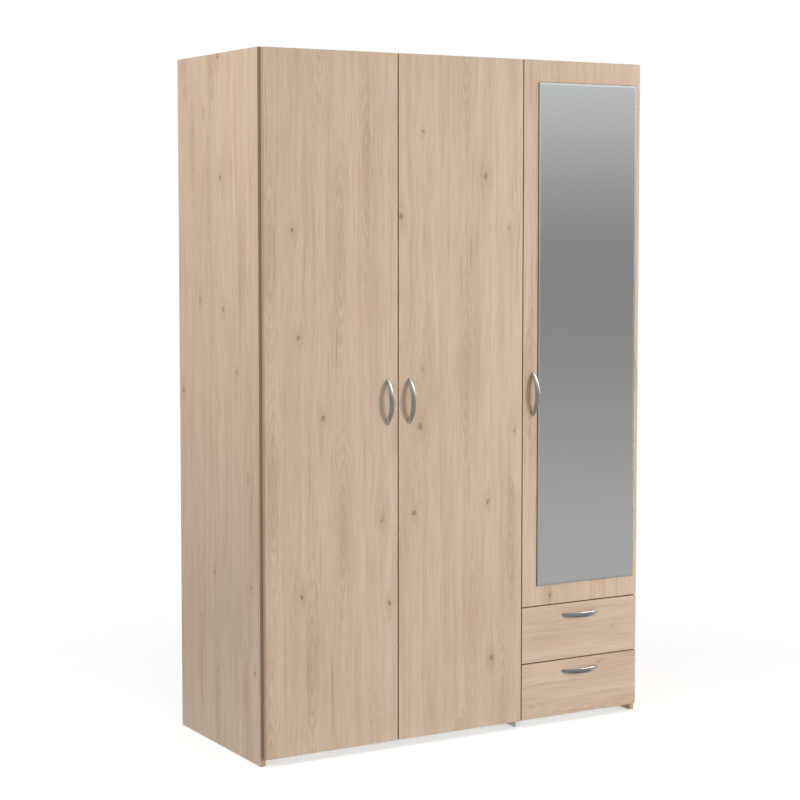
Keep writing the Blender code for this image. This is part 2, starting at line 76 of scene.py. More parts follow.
DOORS = ("left_door", "middle_door", "mirror_door")
DRAWERS = ("lower_drawer", "upper_drawer")
HINGES = ("bottom", "middle", "top")

# Camera: its place in the wardrobe's frame, and how it is turned
CAMERA_PLACE = (-2.798, -4.710, 1.423)
CAMERA_TURN = 30.26  # degrees to the right of +Y
CAMERA_DIP = 3.97  # degrees below level
CAMERA_LENS = 88.1
CAMERA_SHIFT = -0.06

# Bow handles, as the real ones are made
HANDLE_RINGS = 72
HANDLE_SIDES = 28
HANDLE_WIDTH = 0.0150
HANDLE_THICKNESS = 0.0080
HANDLE_TIP_WIDTH = 0.0085
HANDLE_TIP_THICKNESS = 0.0066
HANDLE_FULLNESS = 0.50
FOOT_SHARE = 0.67  # half a foot's print along the bow, as a share of the tip's thickness

# The plain room wall that the mirror faces: a glowing card, seen only in reflections, with painted light.
# The ceiling lights its top and the floor sends some light back to its foot, so it is darkest half way up.
BACKDROP_DISTANCE = 2.0
BACKDROP_HEIGHT = 2.4
BACKDROP_FOOT = 0.4  # light given off, where 1 is white
BACKDROP_HALFWAY = 0.25
BACKDROP_TOP = 0.7
BACKDROP_HALF_SWEEP = 80  # degrees to each side of the way that the mirror faces
# Painted shade: the mirrored floor card glows less near the wardrobe, for the wardrobe's own shade.
SHADED_FLOOR = 0.2  # the floor in front of the wardrobe
SHADE_LENGTH = 0.3


def linear(value):
    """One 0-255 sRGB channel as the linear number that shaders take."""
    share = value / 255
    return share / 12.92 if share <= 0.04045 else ((share + 0.055) / 1.055) ** 2.4


def colour(red, green, blue):
    return (linear(red), linear(green), linear(blue), 1.0)


# Node materials -----------------------------------------------------------------------------


class Look:
    """One Principled material and short ways to wire nodes into it."""

    def __init__(self, name, roughness=0.5, metallic=0.0, **sockets):
        self.material = bpy.data.materials.new(name)
        self.material.use_nodes = True
        self.tree = self.material.node_tree
        self.shader = self.tree.nodes["Principled BSDF"]
        self.set(self.shader, Roughness=roughness, Metallic=metallic)
        for socket, value in sockets.items():
            self.set(self.shader, **{socket.replace("_", " "): value})
        self.place = self.tree.nodes.new("ShaderNodeTexCoord").outputs["Object"]

    def set(self, node, **sockets):
        """Sets each named socket to a number or colour, or links an output to it."""
        for name, value in sockets.items():
            socket = node.inputs[name]
            if isinstance(value, bpy.types.NodeSocket):
                self.tree.links.new(value, socket)
            else:
                socket.default_value = value

    def add(self, kind, *values, **properties):
        """A new node with its inputs filled in order. None leaves an input as it is."""
        node = self.tree.nodes.new("ShaderNode" + kind)
        for name, value in properties.items():
            setattr(node, name, value)
        for socket, value in zip(node.inputs, values):
            if isinstance(value, bpy.types.NodeSocket):
                self.tree.links.new(value, socket)
            elif value is not None:
                socket.default_value = value
        return node

    def math(self, operation, *values):
        return self.add("Math", *values, operation=operation).outputs[0]

    def axes(self):
        return self.add("SeparateXYZ", self.place).outputs

    def vector(self, x, y, z):
        return self.add("CombineXYZ", x, y, z).outputs[0]

    def scaled(self, u, v, u_scale, v_scale, seed=0.0):
        """The point (u, v) stretched for a texture, on a layer of its own."""
        return self.vector(self.math("MULTIPLY", u, u_scale), self.math("MULTIPLY", v, v_scale), seed)

    def noise(self, vector, scale=1.0, detail=2.0, roughness=0.5):
        node = self.add("TexNoise")
        self.set(node, Vector=vector, Scale=scale, Detail=detail, Roughness=roughness)
        return node.outputs["Fac"]

    def span(self, value, low, high, out_low=0.0, out_high=1.0, smooth=False):
        """value moved from low..high to out_low..out_high, and held there."""
        kind = "SMOOTHSTEP" if smooth else "LINEAR"
        node = self.add("MapRange", value, low, high, out_low, out_high, interpolation_type=kind)
        return node.outputs[0]

    def mix(self, share, first, second):
        node = self.add("Mix", data_type="RGBA")
        for socket, value in zip((node.inputs[0], node.inputs[6], node.inputs[7]), (share, first, second)):
            if isinstance(value, bpy.types.NodeSocket):
                self.tree.links.new(value, socket)
            else:
                socket.default_value = value
        return node.outputs[2]

    def paint(self, value):
        self.tree.links.new(value, self.shader.inputs["Base Color"])

    def bump(self, height, distance, strength):
        node = self.add("Bump")
        self.set(node, Height=height, Distance=distance, Strength=strength)
        self.tree.links.new(node.outputs[0], self.shader.inputs["Normal"])


WOOD_PINK = colour(220, 192, 168)
WOOD_GREY = colour(214, 190, 165)
WOOD_PALE = colour(227, 203, 180)
WOOD_BROWN = colour(150, 118, 92)
WOOD_TAN = colour(202, 169, 139)
WOOD_LINE = colour(174, 141, 112)
# Painted shade: the edge bands take this darker tone, which stands in for the shade in the seams and gaps
# round the boards.
WOOD_EDGE_SHADE = colour(186, 160, 136)
EDGE_BAND = 0.0005  # the edge band's thickness, which shows round each face
KNOT_CELL = 0.27  # metres between knots
FIGURE_WIDTH = 0.135  # between columns of cathedral figures
FIGURE_LENGTH = 0.62


def oak(node, along="Z", seed=0.0):
    """Printed light oak with edge bands: soft bands of tone, fine streaks, cathedral figures
    and small knots. The edge bands are painted darker than the faces, as painted shade for the
    seams and gaps. The board's thin axis gets no edge band on its two faces."""
    look = Look("oak_" + node, roughness=0.46, Specular_IOR_Level=0.42)
    x, y, z = look.axes()
    if along == "Z":
        u, v = look.math("ADD", x, y), z
    elif along == "X":
        u, v = look.math("ADD", y, z), x
    u = look.math("ADD", u, seed * 1.37)

    # How far a point is from the nearest of the board's four edges
    low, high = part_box(node)
    thin = min(range(3), key=lambda axis: high[axis] - low[axis])
    inside = None
    for axis, part in enumerate((x, y, z)):
        if axis == thin:
            continue
        middle, half = (low[axis] + high[axis]) / 2, (high[axis] - low[axis]) / 2
        reach = look.math("ABSOLUTE", look.math("SUBTRACT", part, middle))
        reach = look.math("SUBTRACT", half, reach)
        inside = reach if inside is None else look.math("MINIMUM", inside, reach)
    edge = look.span(inside, EDGE_BAND, EDGE_BAND * 0.7)
    v = look.math("ADD", v, seed * 2.71)

    def bell(du, dv, u_reach, v_reach, share):
        """1 at a cell's point, falling off over the two reaches, times share."""
        a = look.math("POWER", look.math("DIVIDE", du, u_reach), 2.0)
        b = look.math("POWER", look.math("DIVIDE", dv, v_reach), 2.0)
        fall = look.math("EXPONENT", look.math("MULTIPLY", look.math("ADD", a, b), -1.0))
        return look.math("MULTIPLY", fall, share)

    def scattered(cell_u, cell_v, layer):
        """The offsets from the nearest of some scattered points, and its two random numbers."""
        cells = look.add("TexVoronoi", voronoi_dimensions="2D")
        moved_u = look.math("ADD", u, layer)
        look.set(cells, Vector=look.scaled(moved_u, v, 1 / cell_u, 1 / cell_v), Scale=1.0)
        near_u, near_v, _ = look.add("SeparateXYZ", cells.outputs["Position"]).outputs
        first, second, _ = look.add("SeparateColor", cells.outputs["Color"]).outputs
        du = look.math("SUBTRACT", moved_u, look.math("MULTIPLY", near_u, cell_u))
        dv = look.math("SUBTRACT", v, look.math("MULTIPLY", near_v, cell_v))
        return du, dv, first, second

    # Knots: ragged brown spots with a soft upright halo; the grain flows round them
    ragged_u = look.noise(look.scaled(u, v, 130.0, 70.0, seed + 1), detail=2.0)
    ragged_v = look.noise(look.scaled(u, v, 110.0, 60.0, seed + 2), detail=2.0)
    du, dv, size, present = scattered(KNOT_CELL, KNOT_CELL, 0.0)
    present = look.span(present, 0.16, 0.20)
    size = look.span(size, 0.0, 1.0, 0.5, 1.25)
    torn_u = look.math("MULTIPLY_ADD", ragged_u, 0.013, look.math("SUBTRACT", du, 0.0065))
    torn_v = look.math("MULTIPLY_ADD", ragged_v, 0.018, look.math("SUBTRACT", dv, 0.009))
    torn_u, torn_v = (look.math("DIVIDE", part, size) for part in (torn_u, torn_v))
    core = look.span(bell(torn_u, torn_v, 0.0060, 0.0078, present), 0.15, 0.85, smooth=True)
    halo = bell(torn_u, torn_v, 0.015, 0.036, present)
    pushed = look.math("MULTIPLY", look.math("MULTIPLY", du, bell(du, dv, 0.030, 0.055, present)), 0.75)
    sway = look.noise(look.scaled(u, v, 2.2, 1.1, seed), detail=2.0)
    flow = look.math("SUBTRACT", look.math("MULTIPLY_ADD", sway, 0.030, u), pushed)

    # Cathedral figures: columns of long nested loops
    du, dv, _, shown = scattered(FIGURE_WIDTH, FIGURE_LENGTH, seed)
    wobble = look.noise(look.scaled(u, v, 26.0, 9.0, seed + 5), detail=2.0)
    du = look.math("MULTIPLY_ADD", wobble, 0.016, look.math("SUBTRACT", du, 0.008))
    a = look.math("POWER", look.math("DIVIDE", du, 0.020), 2.0)
    b = look.math("POWER", look.math("DIVIDE", dv, 0.17), 2.0)
    reach = look.math("MULTIPLY_ADD", wobble, 0.5, look.math("SQRT", look.math("ADD", a, b)))
    rings = look.math("PINGPONG", look.math("MULTIPLY", reach, 3.2), 0.5)
    within = look.math("MULTIPLY", look.span(reach, 2.6, 1.0), look.span(shown, 0.25, 0.45))
    figure = look.math("MULTIPLY", look.span(rings, 0.05, 0.40, 1.0, 0.0, smooth=True), within)
    heart = look.math("MULTIPLY", look.span(reach, 1.6, 0.3, smooth=True), within)

    # Broad bands and patches of tone
    bands = look.noise(look.scaled(flow, v, 11.0, 0.25, seed + 3), detail=2.5, roughness=0.55)
    pale = look.noise(look.scaled(flow, v, 24.0, 0.6, seed + 7), detail=2.0)
    patch = look.noise(look.scaled(flow, v, 17.0, 3.2, seed + 9), detail=3.0, roughness=0.6)

    # Streaks: soft, fine, and a few thin brown lines a hand long
    soft = look.noise(look.scaled(flow, v, 62.0, 1.6, seed + 13), detail=3.0, roughness=0.6)
    fine = look.noise(look.scaled(flow, v, 250.0, 7.0, seed + 17), detail=3.0, roughness=0.7)
    line = look.noise(look.scaled(flow, v, 150.0, 3.4, seed + 19), detail=1.0)
    line = look.span(line, 0.675, 0.75)
    pores = look.span(look.noise(look.scaled(flow, v, 820.0, 60.0, seed), detail=1.0), 0.58, 0.75)

    tone = look.mix(look.span(bands, 0.38, 0.62), WOOD_PINK, WOOD_GREY)
    tone = look.mix(look.span(pale, 0.45, 0.75, 0.0, 0.50), tone, WOOD_PALE)
    tone = look.mix(look.span(patch, 0.48, 0.78, 0.0, 0.50), tone, WOOD_TAN)
    tone = look.mix(look.math("MULTIPLY", heart, 0.50), tone, WOOD_TAN)
    tone = look.mix(look.math("MULTIPLY", figure, 0.28), tone, WOOD_LINE)
    tone = look.mix(look.span(soft, 0.45, 0.80, 0.0, 0.36), tone, WOOD_LINE)
    tone = look.mix(look.span(fine, 0.48, 0.85, 0.0, 0.55), tone, WOOD_LINE)
    tone = look.mix(look.math("MULTIPLY", line, 0.42), tone, WOOD_BROWN)
    tone = look.mix(look.math("MULTIPLY", pores, 0.18), tone, WOOD_BROWN)
    tone = look.mix(look.math("MULTIPLY", halo, 0.34), tone, WOOD_LINE)
    tone = look.mix(look.math("MULTIPLY", core, 0.72), tone, WOOD_BROWN)
    # Painted shade: a darker tone on the edge bands, for the shade in the seams and gaps.
    shaded_band_tone = look.mix(look.span(fine, 0.4, 0.8, 0.0, 0.6), WOOD_EDGE_SHADE, WOOD_LINE)
    look.paint(look.mix(edge, tone, shaded_band_tone))
    look.set(look.shader, Roughness=look.span(soft, 0.3, 0.7, 0.42, 0.52))
    look.bump(look.math("SUBTRACT", look.math("MULTIPLY", fine, 0.4), pores), 0.00006, 0.5)
    return look.material


def white_board(name):
    """White melamine with a faint pearl print and a fine orange-peel skin."""
    look = Look(name, roughness=0.42, Specular_IOR_Level=0.45)
    cloud = look.noise(look.place, scale=9.0, detail=3.0)
    peel = look.noise(look.place, scale=900.0, detail=2.0)
    look.paint(look.mix(cloud, colour(226, 228, 226), colour(233, 234, 231)))
    look.set(look.shader, Roughness=look.span(cloud, 0.3, 0.7, 0.38, 0.48))
    look.bump(peel, 0.00004, 0.6)
    return look.material


def back_sheet(name):
    """Thin hardboard, painted white towards the inside and bare brown behind."""
    look = Look(name, roughness=0.6)
    normal = look.tree.nodes.new("ShaderNodeTexCoord").outputs["Normal"]
    outside = look.math("GREATER_THAN", look.add("SeparateXYZ", normal).outputs[1], 0.5)
    fibre = look.noise(look.place, scale=260.0, detail=5.0, roughness=0.7)
    cloud = look.noise(look.place, scale=7.0, detail=3.0)
    brown = look.mix(fibre, colour(188, 152, 114), colour(224, 190, 150))
    brown = look.mix(look.span(cloud, 0.3, 0.7, 0.0, 0.35), brown, colour(196, 160, 122))
    white = look.mix(cloud, colour(222, 224, 221), colour(229, 230, 227))
    look.paint(look.mix(outside, white, brown))
    look.set(look.shader, Roughness=look.span(outside, 0.0, 1.0, 0.5, 0.85))
    look.bump(look.math("MULTIPLY", fibre, outside), 0.0002, 0.6)
    return look.material


def drawer_board(name):
    """Foil-wrapped drawer sides: off-white with a faint linear print."""
    look = Look(name, roughness=0.5)
    x, y, z = look.axes()
    grain = look.noise(look.scaled(look.math("ADD", z, x), y, 240.0, 9.0), detail=3.0)
    look.paint(look.mix(look.span(grain, 0.35, 0.65), colour(222, 221, 214), colour(232, 231, 225)))
    look.set(look.shader, Roughness=look.span(grain, 0.3, 0.7, 0.44, 0.54))
    look.bump(grain, 0.00004, 0.5)
    return look.material


def mirror_glass(name, roughness=0.008):
    """Silvered float glass, a touch green, with barely visible smears."""
    look = Look(name, metallic=1.0)
    smear = look.noise(look.place, scale=6.0, detail=4.0, roughness=0.6)
    look.paint(look.mix(look.span(smear, 0.3, 0.7), (0.90, 0.935, 0.905, 1), (0.915, 0.945, 0.915, 1)))
    look.set(look.shader, Roughness=look.span(smear, 0.3, 0.8, roughness, roughness + 0.014))
    return look.material


def metal(name, dark, light, roughness, grain=(400.0, 400.0, 60.0), depth=0.00003):
    """Metal with fine drawn lines; grain is the texture's scale along X, Y and Z."""
    look = Look(name, roughness=roughness, metallic=1.0)
    x, y, z = look.axes()
    lines = look.noise(
        look.vector(*(look.math("MULTIPLY", part, scale) for part, scale in zip((x, y, z), grain))),
        detail=3.0,
    )
    cloud = look.noise(look.place, scale=30.0, detail=2.0)
    look.paint(look.mix(lines, dark, light))
    look.set(look.shader, Roughness=look.span(cloud, 0.3, 0.7, roughness * 0.88, roughness * 1.15))
    look.bump(lines, depth, 0.5)
    return look.material


def plastic(name, tint=(226, 226, 220)):
    """Moulded plastic with a fine spark-eroded skin."""
    look = Look(name, roughness=0.38)
    skin = look.noise(look.place, scale=1400.0, detail=2.0)
    cloud = look.noise(look.place, scale=40.0, detail=2.0)
    darker = [part * 0.96 for part in tint]
    look.paint(look.mix(cloud, colour(*darker), colour(*tint)))
    look.set(look.shader, Roughness=look.span(skin, 0.3, 0.7, 0.34, 0.44))
    look.bump(skin, 0.00003, 0.5)
    return look.material


WHITE_BOARD = white_board("white_melamine")
BACK_SHEET = back_sheet("hardboard_back")
DRAWER_BOARD = drawer_board("drawer_foil")
MIRROR = mirror_glass("silvered_mirror")
NICKEL = ((0.52, 0.52, 0.505, 1), (0.57, 0.57, 0.555, 1), 0.36)
HANDLE_UPRIGHT = metal("satin_nickel_upright", *NICKEL, depth=0.000008)
HANDLE_LEVEL = metal("satin_nickel_level", *NICKEL, (60.0, 400.0, 400.0), 0.000008)
HINGE_STEEL = metal("nickelled_steel", (0.50, 0.50, 0.49, 1), (0.58, 0.58, 0.57, 1), 0.24)
SCREW_STEEL = metal("zinc_screws", (0.42, 0.42, 0.41, 1), (0.56, 0.56, 0.54, 1), 0.33)
RAIL_STEEL = metal("chromed_rail", (0.66, 0.66, 0.67, 1), (0.72, 0.72, 0.73, 1), 0.10, (40.0, 500.0, 500.0))
WHITE_PLASTIC = plastic("white_plastic")

SLOT_LOOKS = {
    "white_board": WHITE_BOARD,
    "back_sheet": BACK_SHEET,
    "drawer_board": DRAWER_BOARD,
    "mirror_glass": MIRROR,
    "handle_metal": HANDLE_UPRIGHT,
    "hinge_steel": HINGE_STEEL,
    "rail_steel": RAIL_STEEL,
    "white_plastic": WHITE_PLASTIC,
}

node_slots = {part["node"]: part["material_slot"] for part in frame["record"]["subparts"]}
oak_nodes = [node for node, slot in node_slots.items() if slot == "oak_board"]
UPRIGHT_GRAIN = ("side_panel", "door_panel")
for node, obj in frame["nodes"].items():
    if node in oak_nodes:
        along = "Z" if node.endswith(UPRIGHT_GRAIN) else "X"
        look = oak(node, along, seed=1.0 + oak_nodes.index(node))
    else:
        look = SLOT_LOOKS[node_slots[node]]
    obj.data.materials.clear()
    obj.data.materials.append(look)


# Mesh helpers -------------------------------------------------------------------------------


def object_from(name, bm, material, smooth_angle=None):
    """A new object at the origin from a bmesh whose points are in the row frame."""
    bmesh.ops.recalc_face_normals(bm, faces=bm.faces)
    mesh = bpy.data.meshes.new(name)
    bm.to_mesh(mesh)
    bm.free()
    if smooth_angle is not None:
        mesh.shade_smooth()
        mesh.set_sharp_from_angle(angle=math.radians(smooth_angle))
    mesh.materials.append(material)
    obj = bpy.data.objects.new(name, mesh)
    bpy.context.scene.collection.objects.link(obj)
    return obj


def ride_as(obj, body, replaces=None):
    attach(obj, body)
    if replaces:
        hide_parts(replaces)


def loft(bm, rings):
    """Skins a row of closed rings of points and closes both ends."""
    made = [[bm.verts.new(point) for point in ring] for ring in rings]
    count = len(made[0])
    for low, high in zip(made, made[1:]):
        for j in range(count):
            k = (j + 1) % count
            bm.faces.new((low[j], low[k], high[k], high[j]))
    bm.faces.new(made[0])
    bm.faces.new(made[-1])


def facing(direction):
    """The rotation that turns +Z to the given direction."""
    return Vector(direction).to_track_quat("Z", "Y").to_matrix().to_4x4()


def turned(bm, place, direction, profile, sides):
    """Turns (radius, height) pairs round an axis that starts at place. The radius may be a
    function of the angle."""
    turn = Matrix.Translation(place) @ facing(direction)
    rings = []
    for radius, height in profile:
        ring = []
        for j in range(sides):
            angle = 2 * math.pi * j / sides
            reach = radius(angle) if callable(radius) else radius
            ring.append(turn @ Vector((reach * math.cos(angle), reach * math.sin(angle), height)))
        rings.append(ring)
    loft(bm, rings)


def screw(bm, place, direction, radius, height):
    """A pan-head screw with a cross recess."""

    def cross(angle):
        return radius * (0.16 + 0.44 * max(0.0, math.cos(4 * angle)) ** 2)

    profile = (
        (radius * 0.92, 0.0),
        (radius, height * 0.25),
        (radius * 0.96, height * 0.60),
        (radius * 0.80, height * 0.92),
        (radius * 0.66, height),
        (cross, height),
        (lambda angle: cross(angle) * 0.55, height * 0.35),
        (radius * 0.08, height * 0.25),
    )
    turned(bm, place, direction, profile, sides=32)


def disc(bm, place, direction, radius, height):
    """A flat cap with a rounded rim."""
    soft = min(height * 0.5, radius * 0.12)
    profile = (
        (radius, 0.0),
        (radius, height - soft),
        (radius - soft * 0.4, height - soft * 0.3),
        (radius - soft * 1.2, height),
    )
    turned(bm, place, direction, profile, sides=28)


def block(bm, low, high, bevel):
    """A box between two corners with rounded edges, bevelled in a mesh of its own so that its
    points come in the same order each time."""
    low, high = Vector(low), Vector(high)
    box = bmesh.new()
    bmesh.ops.create_cube(box, size=1.0)
    bmesh.ops.scale(box, vec=high - low, verts=box.verts)
    bmesh.ops.translate(box, vec=(low + high) / 2, verts=box.verts)
    bmesh.ops.bevel(box, geom=box.edges[:], offset=bevel, segments=2, affect="EDGES", profile=0.5)
    box.verts.index_update()
    made = [bm.verts.new(vert.co) for vert in box.verts]
    for face in box.faces:
        bm.faces.new([made[vert.index] for vert in face.verts])
    box.free()


# Handles ------------------------------------------------------------------------------------


def handle_rings(span, rise):
    """The rings of a bow along Z with its feet at Y = 0, from one foot to the other."""
    half = span / 2
    radius = (half**2 + rise**2) / (2 * rise)
    sweep = math.asin(half / radius)
    rings = []
    for i in range(HANDLE_RINGS + 1):
        share = i / HANDLE_RINGS
        turn = sweep * (2 * share - 1)
        middle = Vector((0, radius - rise - radius * math.cos(turn), radius * math.sin(turn)))
        outward = Vector((0, -math.cos(turn), math.sin(turn)))
        along = Vector((0, math.sin(turn), math.cos(turn)))
        fullness = math.sin(math.pi * share) ** HANDLE_FULLNESS
        width = HANDLE_TIP_WIDTH + (HANDLE_WIDTH - HANDLE_TIP_WIDTH) * fullness
        depth = HANDLE_TIP_THICKNESS + (HANDLE_THICKNESS - HANDLE_TIP_THICKNESS) * fullness
        ring = []
        for j in range(HANDLE_SIDES):
            angle = 2 * math.pi * j / HANDLE_SIDES
            point = middle + Vector((width / 2 * math.cos(angle), 0, 0))
            point += outward * (depth / 2 * math.sin(angle))
            if i in (0, HANDLE_RINGS):
                point -= along * (point.y / along.y)
            ring.append(point)
        rings.append(ring)
    return rings


def add_handle(body, level):
    """A fine bow in the place of the CAD handle, along X on drawers and along Z on doors."""
    node = body + "_handle"
    low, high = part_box(node)
    axis = 0 if level else 2
    foot_reach = HANDLE_TIP_THICKNESS * FOOT_SHARE
    span = (high[axis] - low[axis]) - 2 * foot_reach
    rise = (high.y - low.y) - HANDLE_THICKNESS / 2
    place = Matrix.Translation(((low.x + high.x) / 2, high.y, (low.z + high.z) / 2))
    if level:
        place = place @ Matrix.Rotation(math.radians(90), 4, "Y")
    bm = bmesh.new()
    loft(bm, [[place @ point for point in ring] for ring in handle_rings(span, rise)])
    material = HANDLE_LEVEL if level else HANDLE_UPRIGHT
    bow = object_from(node + "_bow", bm, material, smooth_angle=50)
    ride_as(bow, body, node)


for door in DOORS:
    add_handle(door, level=False)
for drawer in DRAWERS:
    add_handle(drawer, level=True)


# Mirror with a narrow polished bevel --------------------------------------------------------

BEVEL_WIDTH = 0.006
BEVEL_DEPTH = 0.00022
GROUND_EDGE = 0.0009
BACK_ARRIS = 0.0002
FACES_FRONT = -0.9  # the normal's Y beyond which a face is the bevel or the flat front
FLAT = 0.99999
# The glass edge's dark colour is partly its own and partly painted shade, for the shadow that the mirror
# casts on the door beside its edge.
MIRROR_EDGE_AND_SHADE = plastic("ground_glass_edge_and_shade", (84, 78, 64))

low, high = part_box("mirror_glass")
bm = bmesh.new()
rings = []
for inset, y in (
    (BACK_ARRIS, high.y),
    (0.0, high.y - BACK_ARRIS),
    (0.0, low.y + BEVEL_DEPTH + GROUND_EDGE),
    (GROUND_EDGE, low.y + BEVEL_DEPTH),
    (BEVEL_WIDTH, low.y),
):
    x0, x1, z0, z1 = low.x + inset, high.x - inset, low.z + inset, high.z - inset
    rings.append([Vector(corner) for corner in ((x0, y, z0), (x1, y, z0), (x1, y, z1), (x0, y, z1))])
loft(bm, rings)
bm.normal_update()
glass = object_from("bevelled_mirror", bm, MIRROR)
glass.data.materials.append(MIRROR_EDGE_AND_SHADE)
glass.data.materials.append(mirror_glass("mirror_bevel", roughness=0.30))
for face in glass.data.polygons:
    if face.normal.y > FACES_FRONT:
        face.material_index = 1
    elif abs(face.normal.y) < FLAT:
        face.material_index = 2
    else:
        face.material_index = 0
ride_as(glass, "mirror_door", "mirror_glass")


# Fittings: hinges ---------------------------------------------------------------------------

# A screw, bumper or cap is a (radius, height)
PLATE_SCREW = (0.0036, 0.0022)
ARM_SCREW = (0.0031, 0.0008)
CUP_SCREW = (0.0033, 0.0008)
PLATE_SCREW_REACH = 0.020  # from a hinge plate's middle to each of its two screws
CUP_SCREW_REACH = 0.0235
PLATE_MIDDLE = 0.037  # from the arm's front end to the plate's middle
PLATE_SEAT = 0.0023  # from the arm's mounting face to the feet of the plate's screws
ARM_SCREW_PLACES = (0.016, 0.044)  # from the arm's front end
SEAT = 0.0002  # how deep a screw's foot sits in what it holds
LINK_HALF_WIDTH = 0.0052
LINK_THICKNESS = 0.0011
LINK_STEPS = 8
LINK_SHAPES = ((0.0, 0.0), (0.0048, 0.0012))  # how far each link is moved across and bowed
ARM_PIN = (0.0035, 0.003)  # from the arm's outer face and front end to where a link starts
CUP_PIN = (0.0045, 0.0042)  # from the cup's middle and floor to where it ends
FITTING_SMOOTH = 40  # edges sharper than this many degrees stay sharp
DOOR_MIDDLE = {door: sum(corner.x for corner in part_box(door + "_panel")) / 2 for door in DOORS}


def fit(name, bm, material, body):
    """A fitting made from a bmesh, which rides on a body."""
    ride_as(object_from(name, bm, material, FITTING_SMOOTH), body)


def hinge_frame(door, hinge):
    """A hinge's turning side (1 at the left, -1 at the right), its arm's and its cup's box."""
    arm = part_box(f"{door}_hinge_arm_{hinge}")
    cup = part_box(f"{door}_hinge_cup_{hinge}")
    side = 1 if (cup[0].x + cup[1].x) < (DOOR_MIDDLE[door] * 2) else -1
    return side, arm, cup


def link_rings(points, z):
    """A flat strap through (x, y) points, at one height."""
    rings = []
    for i, point in enumerate(points):
        before, after = points[max(i - 1, 0)], points[min(i + 1, len(points) - 1)]
        along = (after - before).normalized()
        across = Vector((-along.y, along.x)) * LINK_THICKNESS / 2
        rings.append(
            [
                Vector((point.x + across.x * a, point.y + across.y * a, z + LINK_HALF_WIDTH * b))
                for a, b in ((1, -1), (1, 1), (-1, 1), (-1, -1))
            ]
        )
    return rings


def add_link(name, first, last, bow, z):
    """A link from the arm's end to the cup."""
    across = (last - first).orthogonal().normalized() * bow
    points = []
    for i in range(LINK_STEPS + 1):
        share = i / LINK_STEPS
        points.append(first.lerp(last, share) + across * math.sin(math.pi * share))
    bm = bmesh.new()
    loft(bm, link_rings(points, z))
    link = object_from(name, bm, HINGE_STEEL, 30)
    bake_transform(link)


def add_hinge(door, hinge):
    """One hinge's screws, and the two links between its arm and its cup."""
    side, arm, cup = hinge_frame(door, hinge)
    z = (arm[0].z + arm[1].z) / 2
    front = arm[0].y
    wall, top = (arm[0].x, arm[1].x) if side > 0 else (arm[1].x, arm[0].x)
    outward = (side, 0, 0)
    name = f"{door}_hinge_{hinge}"

    # Plate screws, and the two adjusting screws on the arm
    bm = bmesh.new()
    for reach in (-PLATE_SCREW_REACH, PLATE_SCREW_REACH):
        place = (wall + side * PLATE_SEAT, front + PLATE_MIDDLE, z + reach)
        screw(bm, place, outward, *PLATE_SCREW)
    for back in ARM_SCREW_PLACES:
        screw(bm, (top - side * SEAT, front + back, z), outward, *ARM_SCREW)
    fit(name + "_arm_screws", bm, SCREW_STEEL, "carcase")

    # Cup screws
    bm = bmesh.new()
    x = (cup[0].x + cup[1].x) / 2
    for reach in (-CUP_SCREW_REACH, CUP_SCREW_REACH):
        screw(bm, (x, cup[1].y - SEAT, z + reach), (0, 1, 0), *CUP_SCREW)
    fit(name + "_cup_screws", bm, SCREW_STEEL, door)

    start = Vector((top - side * ARM_PIN[0], front + ARM_PIN[1]))
    end = Vector((x - side * CUP_PIN[0], cup[0].y + CUP_PIN[1]))
    for index, (gap, bow) in enumerate(LINK_SHAPES):
        moved = Vector((-side * gap, 0.0))
        add_link(f"{name}_link_{index + 1}", start + moved, end + moved, bow, z)


for door in DOORS:
    for hinge in HINGES:
        add_hinge(door, hinge)


# Fittings: screws, bumpers, pins, caps and nails ----------------------------------------------

THIN_SEAT = 0.0001  # how deep a flat fitting sits in its board
HANDLE_SCREW = (0.0040, 0.0021)
HANDLE_SCREW_INSET = 0.0050  # from the handle's ends
BUMPER = (0.0036, 0.0019)
BUMPER_INSET = 0.030  # from the door's edges
BUMPER_SEAM_INSET = 0.0042  # from the mirror door's free edge, which covers little of the partition
BUMPER_TOP_INSET = 0.0065
SIDE_SCREW = (0.0034, 0.0009)
SIDE_SCREW_BACK = 0.006  # from the rear end of a drawer's side
SIDE_SCREW_INSETS = (0.022, 0.018)  # from its lower and upper edge
DRAWER_CAP = (0.0078, 0.0008)
DRAWER_CAP_FRONT = 0.030  # from the front end of a drawer's side
DRAWER_CAP_INSETS = (0.026, 0.020)  # from its lower and upper edge


def bottom_board_height():
    """The middle of the bottom boards' thickness, to a tenth of a millimetre."""
    low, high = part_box("wide_bottom_panel")
    return round((low.z + high.z) / 2, 4)


def add_door_fittings(door):
    """The handle's screws, and two white plastic bumpers where the free edge meets the carcase."""
    panel_low, panel_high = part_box(door + "_panel")
    low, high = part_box(door + "_handle")
    back = panel_high.y - THIN_SEAT
    x = (low.x + high.x) / 2
    bm = bmesh.new()
    for z in (low.z + HANDLE_SCREW_INSET, high.z - HANDLE_SCREW_INSET):
        screw(bm, (x, back, z), (0, 1, 0), *HANDLE_SCREW)
    fit(door + "_handle_screws", bm, SCREW_STEEL, door)

    free, inward = (panel_high.x, -1) if x > DOOR_MIDDLE[door] else (panel_low.x, 1)
    if door == "mirror_door":
        bumper_x = free + inward * BUMPER_SEAM_INSET
        heights = (panel_low.z + BUMPER_INSET, panel_high.z - BUMPER_INSET)
    else:
        bumper_x = free + inward * BUMPER_INSET
        heights = (bottom_board_height(), panel_high.z - BUMPER_TOP_INSET)
    bm = bmesh.new()
    for z in heights:
        disc(bm, (bumper_x, back, z), (0, 1, 0), *BUMPER)
    fit(door + "_bumpers", bm, WHITE_PLASTIC, door)


